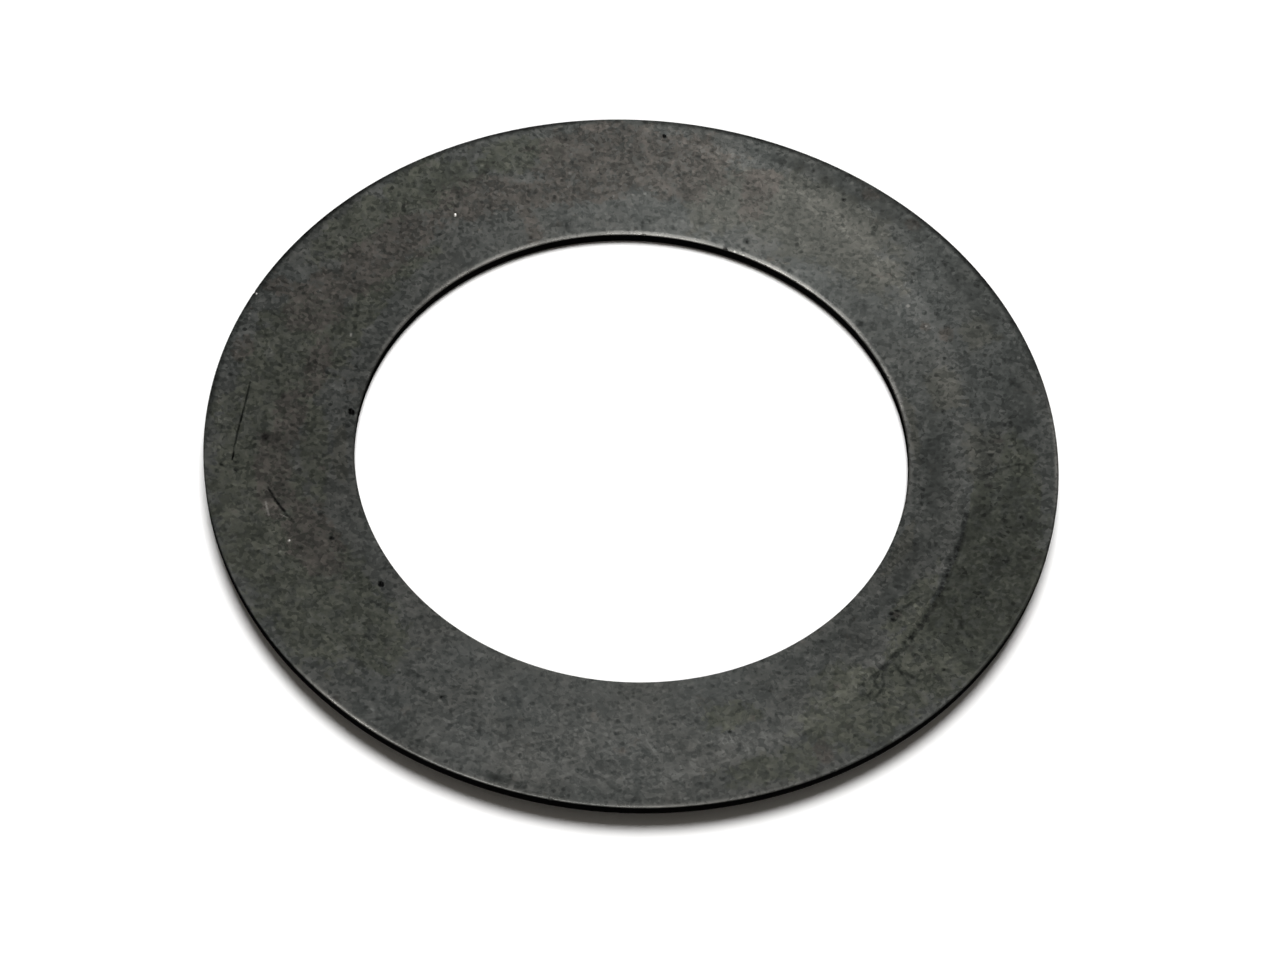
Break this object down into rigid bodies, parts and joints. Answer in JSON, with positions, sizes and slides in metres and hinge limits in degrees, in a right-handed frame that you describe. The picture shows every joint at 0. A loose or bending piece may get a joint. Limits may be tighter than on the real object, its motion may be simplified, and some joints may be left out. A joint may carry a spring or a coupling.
{
  "type": "conical spring washer",
  "caption": "Thin ring of dark spring steel pressed into a shallow cone, with a wide round bore and rounded edges, lying dished side up.",
  "frame": {"origin": "on the washer's axis, in the plane that the lower edge of the bore rests on", "axes": "+Z along the washer's axis, towards the dished side and the raised outer edge; X and Y are alike, because the washer is round"},
  "size_m": [0.0464, 0.0464, 0.0015],
  "materials": {
    "spring_steel": "dark phosphated, satin, rubbed brighter along its edges"
  },
  "bodies": {
    "root": {"conical_spring_washer": "spring_steel"}
  },
  "joints": []
}
